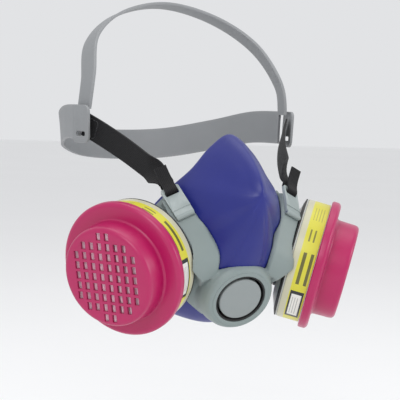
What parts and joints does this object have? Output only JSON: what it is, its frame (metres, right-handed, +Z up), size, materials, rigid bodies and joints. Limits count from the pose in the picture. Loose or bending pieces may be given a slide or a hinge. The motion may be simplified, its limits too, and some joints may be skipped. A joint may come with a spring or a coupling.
{
  "type": "half-mask respirator",
  "caption": "Half-mask respirator: soft blue cup, grey yoke with round exhalation valve, twin stepped round filter cartridges with slotted caps, strap harness.",
  "frame": {"origin": "on the symmetry plane inside the seal opening, level in depth with the nose bridge and 45 mm below it", "axes": "+Z up, -Y the way the wearer looks, +X the wearer's left, +Y towards the face"},
  "size_m": [0.2074, 0.2357, 0.2178],
  "materials": {
    "facepiece_elastomer": "satin moulded elastomer",
    "yoke_plastic": "fine matt moulded",
    "buckle_plastic": "fine matt moulded",
    "black_rubber": "matt",
    "valve_rubber": "satin",
    "cover_plastic": "fine matt moulded",
    "cartridge_shell": "satin moulded",
    "label_film": "satin film",
    "filter_magenta": "semi-gloss moulded",
    "filter_media": "fibrous",
    "sorbent": "granular",
    "strap_webbing": "woven elastic",
    "cradle_plastic": "satin moulded",
    "pin_steel": "drawn wire"
  },
  "bodies": {
    "mask": {"facepiece": "facepiece_elastomer", "yoke": "yoke_plastic", "exhalation_valve_seat": "black_rubber", "cradle_crown_band": "cradle_plastic", "cradle_rear_band": "cradle_plastic", "neck_clip_loop": "buckle_plastic", "inhalation_connector_left": "yoke_plastic", "buckle_pin_left": "pin_steel", "upper_strap_left": "strap_webbing", "cradle_side_plate_left": "cradle_plastic", "neck_strap_anchor_left": "yoke_plastic", "neck_strap_left": "strap_webbing", "inhalation_connector_right": "yoke_plastic", "buckle_pin_right": "pin_steel", "upper_strap_right": "strap_webbing", "cradle_side_plate_right": "cradle_plastic", "neck_strap_anchor_right": "yoke_plastic", "neck_strap_right": "strap_webbing"},
    "exhalation_cover": {"exhalation_cover": "cover_plastic"},
    "exhalation_flap": {"exhalation_flap": "valve_rubber"},
    "neck_clip_hook": {"neck_clip_hook": "buckle_plastic"},
    "inhalation_flap_left": {"inhalation_flap_left": "valve_rubber"},
    "cartridge_gasket_left": {"cartridge_gasket_left": "black_rubber"},
    "cartridge_left": {"cartridge_shell_left": "cartridge_shell", "label_band_left": "label_film", "sorbent_bed_left": "sorbent", "particulate_filter_left": "filter_media", "filter_cap_left": "filter_magenta"},
    "strap_buckle_left": {"strap_buckle_left": "buckle_plastic", "strap_tail_left": "strap_webbing"},
    "inhalation_flap_right": {"inhalation_flap_right": "valve_rubber"},
    "cartridge_gasket_right": {"cartridge_gasket_right": "black_rubber"},
    "cartridge_right": {"cartridge_shell_right": "cartridge_shell", "label_band_right": "label_film", "sorbent_bed_right": "sorbent", "particulate_filter_right": "filter_media", "filter_cap_right": "filter_magenta"},
    "strap_buckle_right": {"strap_buckle_right": "buckle_plastic", "strap_tail_right": "strap_webbing"}
  },
  "joints": [
    {"name": "exhalation_cover_pull", "type": "slide", "parent": "mask", "child": "exhalation_cover", "axis": [0, -0.9063, -0.4226], "range_m": [0, 0.016]},
    {"name": "exhalation_flap_lift", "type": "slide", "parent": "mask", "child": "exhalation_flap", "axis": [0, -0.9063, -0.4226], "range_m": [0, 0.0013], "stiffness_N_per_m": 30},
    {"name": "neck_clip_open", "type": "hinge", "parent": "mask", "child": "neck_clip_hook", "pos_m": [0.0138, 0.152, -0.05], "axis": [0, 0, -1], "range_deg": [0, 50]},
    {"name": "inhalation_flap_lift_left", "type": "slide", "parent": "mask", "child": "inhalation_flap_left", "axis": [-0.8201, 0.5225, 0.2334], "range_m": [0, 0.0015], "stiffness_N_per_m": 30},
    {"name": "cartridge_pull_left", "type": "slide", "parent": "mask", "child": "cartridge_gasket_left", "axis": [0.8201, -0.5225, -0.2334], "range_m": [0, 0.024]},
    {"name": "cartridge_twist_left", "type": "hinge", "parent": "cartridge_gasket_left", "child": "cartridge_left", "pos_m": [0.0511, 0.0141, -0.0352], "axis": [0.8201, -0.5225, -0.2334], "range_deg": [0, 36]},
    {"name": "strap_buckle_swing_left", "type": "hinge", "parent": "mask", "child": "strap_buckle_left", "pos_m": [0.03856, -0.01732, -0.00577], "axis": [0.8939, 0.1469, -0.4236], "range_deg": [0, 18]},
    {"name": "inhalation_flap_lift_right", "type": "slide", "parent": "mask", "child": "inhalation_flap_right", "axis": [0.8201, 0.5225, 0.2334], "range_m": [0, 0.0015], "stiffness_N_per_m": 30},
    {"name": "cartridge_pull_right", "type": "slide", "parent": "mask", "child": "cartridge_gasket_right", "axis": [-0.8201, -0.5225, -0.2334], "range_m": [0, 0.024]},
    {"name": "cartridge_twist_right", "type": "hinge", "parent": "cartridge_gasket_right", "child": "cartridge_right", "pos_m": [-0.0511, 0.0141, -0.0352], "axis": [-0.8201, -0.5225, -0.2334], "range_deg": [0, 36]},
    {"name": "strap_buckle_swing_right", "type": "hinge", "parent": "mask", "child": "strap_buckle_right", "pos_m": [-0.03856, -0.01732, -0.00577], "axis": [0.8939, -0.1469, 0.4236], "range_deg": [0, 18]}
  ]
}
